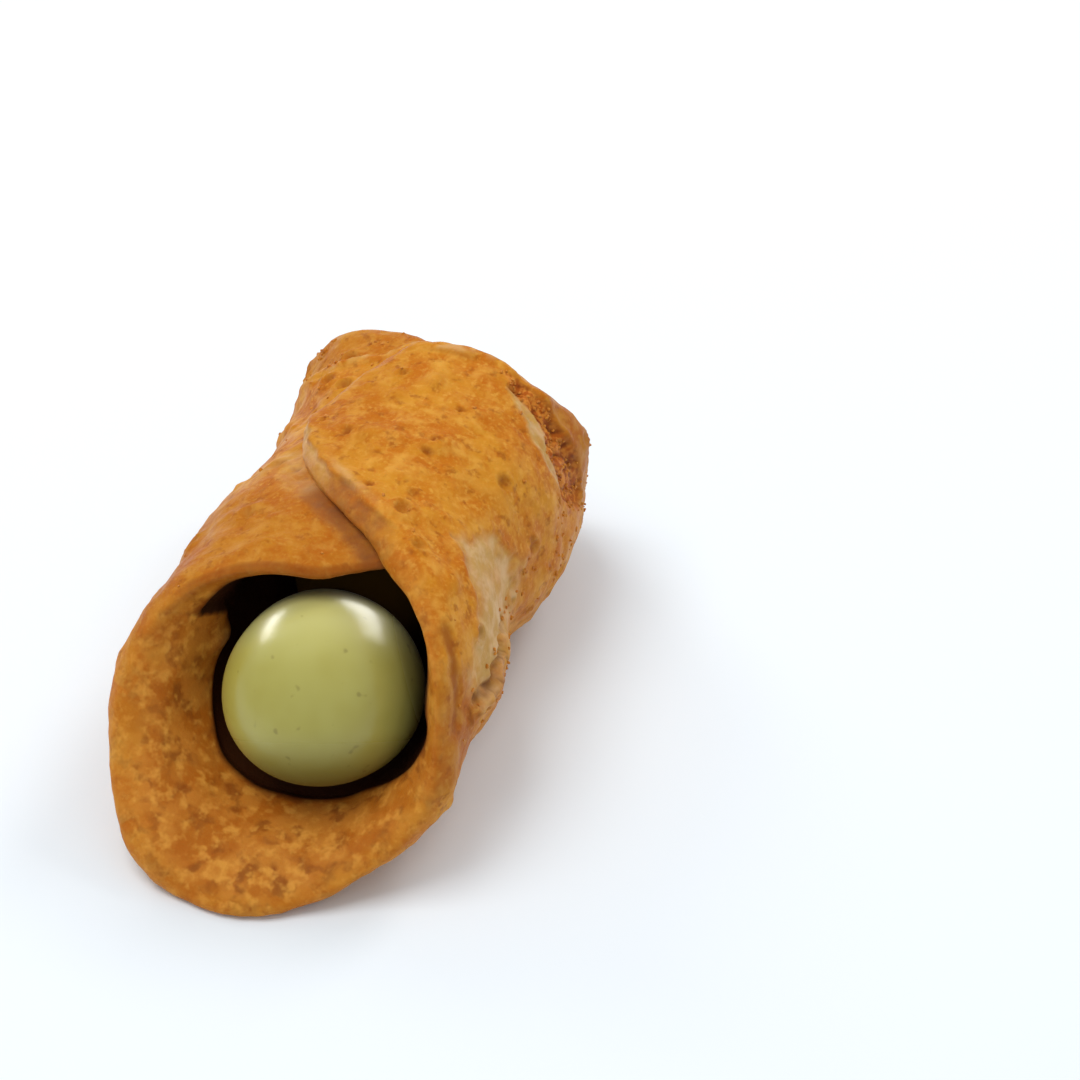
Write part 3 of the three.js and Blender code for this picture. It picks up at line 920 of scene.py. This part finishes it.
def make_shell():
    """The shell, and how likely a loose crumb is at each of its vertices."""
    turn, back, face, to_front, to_back = sheet_grid()
    inner, outer = faces_of(turn, back, to_front, to_back)
    to_rim = np.minimum(np.minimum(to_front, to_back), RIM_ROUND) / RIM_ROUND
    half = (outer - inner) / 2 * np.sqrt(np.clip(1 - (1 - to_rim) ** 2, 0, 1))
    points = place(turn, back, (inner + outer) / 2 + face * half)
    rings, around = turn.shape
    ends = [points[0].mean(0), points[-1].mean(0)]
    points = np.vstack([points.reshape(-1, 3), ends])
    faces = [corners[::-1] for corners in ring_faces(rings, around)]
    shell = mesh_piece("baked_shell", points, faces, dough_material())
    turn, back, face, to_front, to_back = (
        np.append(v.ravel(), [v[0].mean(), v[-1].mean()]) for v in (turn, back, face, to_front, to_back)
    )
    rise, marks = DoughSurface(points, turn, back, face, to_front, to_back).work()
    points = points + normals_of(shell) * rise[:, None]
    points[:, 2] = np.maximum(points[:, 2], 0)
    set_points(shell, points)
    for name, values in marks.items():
        paint(shell, name, values)
    back_left = stretch(turn, None, BACK_LEFT_TURN_END) * stretch(back, BACK_LEFT_BEGIN)
    right_flank = stretch(turn, FLANK_TURN_BEGIN, FLANK_TURN_END) * stretch(back, FLANK_BEGIN)
    crumbs = CRUMBS_ANYWHERE + CRUMBS_ON_CHUNKS * marks["crumb"]
    crumbs = crumbs + CRUMBS_BACK_LEFT * back_left + CRUMBS_RIGHT_FLANK * right_flank
    return shell, np.maximum(face, 0) * (1 - marks["lip"]) * crumbs


def make_cream():
    """The cream: a ball in the front mouth, a narrow neck behind it, and a tail that fills the tube."""
    way = (1 - np.cos(np.pi * np.linspace(0, 1, CREAM_ALONG + 2)[1:-1])) / 2
    back = CREAM_FRONT + (CREAM_BACK - CREAM_FRONT) * way
    into = np.maximum(0, 1 - (CREAM_BACK - back) / BACK_DOME)
    behind = back - CREAM_FRONT - FRONT_DOME
    ball = 1 - ease(behind, 0, TAIL_TO)
    ball_width = np.sqrt(np.maximum(0, 1 - (behind / FRONT_DOME) ** 2))
    width = np.maximum(ball_width, np.sqrt(1 - into**2) * ease(behind, TAIL_FROM, TAIL_TO))
    gap = CREAM_GAP + (BALL_GAP - CREAM_GAP) * ball
    angle = np.linspace(0, 2 * np.pi, CREAM_AROUND, endpoint=False)
    centre = place(0.0, back, -BORE_HALF_HEIGHT)
    centre[:, 0] += BALL_LEAN * ball
    centre[:, 2] -= BALL_SINK * ball
    x = centre[:, 0][:, None] + ((BORE_HALF_WIDTH - gap) * width)[:, None] * np.sin(angle)
    tall = 1 + BALL_RISE * ball[:, None] * ease(-np.cos(angle), *BALL_RISE_ZONE)
    z = centre[:, 2][:, None] - ((BORE_HALF_HEIGHT - gap) * width)[:, None] * np.cos(angle) * tall
    y = np.repeat(centre[:, 1][:, None], CREAM_AROUND, 1)
    points = np.stack([x, y, z], -1)
    ends = [points[0].mean(0), points[-1].mean(0)]
    ends[0][1] = CREAM_FRONT - LENGTH / 2
    ends[1][1] = CREAM_BACK - LENGTH / 2
    points = np.vstack([points.reshape(-1, 3), ends])
    cream = mesh_piece("cream_filling", points, ring_faces(CREAM_ALONG, CREAM_AROUND), cream_material())
    rise = CREAM_WAVES * lumps(points, 7, 21) + CREAM_RIPPLES * lumps(points, 2.6, 22, 2)
    set_points(cream, points + normals_of(cream) * rise[:, None])
    paint_cream(cream, points)
    return cream


def paint_cream(cream, points):
    """Painted light on top of the ball, and painted shade low on it, at its right edge and where the neck
    is hidden.
    """
    middle = place(0.0, CREAM_FRONT + FRONT_DOME, -BORE_HALF_HEIGHT) + (BALL_LEAN, 0, -BALL_SINK)
    outward = (points - middle) / (BORE_HALF_WIDTH - BALL_GAP)
    upward = outward @ MOUTH_UP
    rightward = outward @ MOUTH_RIGHT
    behind = points[:, 1] - middle[1]
    back = points[:, 1] + LENGTH / 2
    # Painted shade low on the ball, at its right edge and on the hidden neck, and painted light on its top.
    on_ball = stretch(behind, None, BALL_SHADE_END)
    low = 0.9 * stretch(-upward, (0.3, 1.0))
    right_edge_shade = 0.3 * stretch(rightward + 0.25 * upward, (0.8, 0.93))
    hidden_neck_shade = stretch(behind, NECK_BEGIN) * stretch(back, None, NECK_END)
    paint(cream, "shade", np.maximum(np.maximum(low, right_edge_shade) * on_ball, hidden_neck_shade))
    paint(cream, "light", stretch(upward, (0.2, 0.85)) * on_ball)


def make_crumbs(shell, crumb_share):
    """Small loose crumbs of dough, more of them where the surface is torn, all in one mesh."""
    rng = np.random.default_rng(CRUMB_SEED)
    count = len(crumb_share)
    flat = np.zeros(count * 3, np.float32)
    shell.data.vertices.foreach_get("co", flat)
    points = flat.reshape(-1, 3).astype(float) / MM
    normals = normals_of(shell)
    chosen = rng.choice(count, CRUMB_COUNT, replace=False, p=crumb_share / crumb_share.sum())
    round_shape = bmesh.new()
    bmesh.ops.create_icosphere(round_shape, subdivisions=2, radius=1.0)
    ball = np.array([vertex.co[:] for vertex in round_shape.verts])
    ball_faces = [[vertex.index for vertex in face.verts] for face in round_shape.faces]
    round_shape.free()
    all_points = []
    all_faces = []
    for i in chosen:
        wide = rng.uniform(*CRUMB_STRETCH, 3)
        lumpy = ball * (1 + CRUMB_LUMPINESS * lumps(ball + 10 * rng.random(3), CRUMB_LUMP, 33))[:, None]
        size = rng.uniform(*CRUMB_SIZES)
        shift = len(all_points) * len(ball)
        all_points.append(points[i] + normals[i] * size * CRUMB_RAISE + lumpy * wide * size)
        all_faces += [[shift + corner for corner in face] for face in ball_faces]
    all_points = np.vstack(all_points)
    all_points[:, 2] = np.maximum(all_points[:, 2], 0)
    crumbs = mesh_piece("loose_crumbs", all_points, all_faces, shell.data.materials[0])
    for name, value in CRUMB_MARKS.items():
        paint(crumbs, name, np.full(len(all_points), value))
    return crumbs


# ---------------------------------------------------------------- the stage
CAMERA_AZIMUTH = 18.9
CAMERA_ELEVATION = 41.4
CAMERA_DISTANCE = 0.36
CAMERA_LENS = 100.0
CAMERA_SENSOR = 36.0
CAMERA_RIGHT = 0.0219  # the camera stands this far to the right of the line to the object's middle
CAMERA_UP = 0.0058
TARGET = Vector((0.0001, 0.0, 0.0171))
FLOOR_HALF = 2000.0
SKY_COLOUR = (0.92, 0.96, 1, 1)
SKY_STRENGTH = 0.62
# Area lights: name, azimuth, elevation, distance, size and power.
LIGHTS = [
    ("key", -62, 72, 0.7, (0.4, 0.4), 2.25),
    ("left", -121, 34, 0.6, (0.2, 0.2), 0.4),
    ("right", 152, 45, 0.6, (0.2, 0.2), 0.9),
]


def direction(azimuth, elevation):
    """The direction from the object towards a viewer at this azimuth and elevation."""
    a, e = math.radians(azimuth), math.radians(elevation)
    return Vector((math.sin(a) * math.cos(e), -math.cos(a) * math.cos(e), math.sin(e)))


def make_camera():
    back = direction(CAMERA_AZIMUTH, CAMERA_ELEVATION)
    right = (-back).cross(Vector((0, 0, 1))).normalized()
    up = right.cross(-back)
    data = bpy.data.cameras.new("camera")
    data.lens = CAMERA_LENS
    data.sensor_width = CAMERA_SENSOR
    data.clip_start = 0.01
    camera = bpy.data.objects.new("camera", data)
    camera.rotation_mode = "QUATERNION"
    camera.rotation_quaternion = (-back).to_track_quat("-Z", "Y")
    camera.location = TARGET + back * CAMERA_DISTANCE + right * CAMERA_RIGHT + up * CAMERA_UP
    bpy.context.scene.collection.objects.link(camera)
    bpy.context.scene.camera = camera


def make_light(name, azimuth, elevation, distance, size, power, roll=0, only=None):
    """An area light; with only, it shows as a reflection on that piece alone and nothing else blocks it."""
    data = bpy.data.lights.new(name, "AREA")
    data.shape = "RECTANGLE"
    data.size, data.size_y = size
    data.energy = power
    light = bpy.data.objects.new(name, data)
    towards = direction(azimuth, elevation)
    light.location = TARGET + towards * distance
    light.rotation_mode = "QUATERNION"
    turned = Quaternion((0, 0, 1), math.radians(roll))
    light.rotation_quaternion = (-towards).to_track_quat("-Z", "Y") @ turned
    bpy.context.scene.collection.objects.link(light)
    if only:
        group = bpy.data.collections.new(name)
        group.objects.link(only)
        light.light_linking.receiver_collection = group
        light.light_linking.blocker_collection = group
        light.visible_diffuse = False
    return light


def make_stage():
    corners = [(x * FLOOR_HALF, y * FLOOR_HALF, 0) for x, y in ((-1, -1), (1, -1), (1, 1), (-1, 1))]
    floor = mesh_piece("floor", corners, [(0, 1, 2, 3)], floor_material())
    world = bpy.data.worlds.new("world")
    world.use_nodes = True
    sky = world.node_tree.nodes["Background"]
    sky.inputs["Color"].default_value = SKY_COLOUR
    sky.inputs["Strength"].default_value = SKY_STRENGTH
    bpy.context.scene.world = world
    for settings in LIGHTS:
        make_light(*settings).visible_glossy = False
    bpy.context.scene.view_settings.view_transform = "Standard"


make_camera()
make_stage()
shell, crumb_share = make_shell()
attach(shell, "root")
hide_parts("shell")
crumbs = make_crumbs(shell, crumb_share)
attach(crumbs, "root")
cream = make_cream()
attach(cream, "root")
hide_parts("cream")
# The windows that the cream reflects, and the sheen of the crust.
make_light("window_left", -121, 16, 0.6, (0.32, 0.1), 1.2, roll=37, only=cream)
make_light("window_right", 169, 21, 0.6, (0.58, 0.2), 2.9, roll=-39, only=cream)
make_light("sheen", -65, 62, 0.7, (0.3, 0.3), 0.5, only=shell)
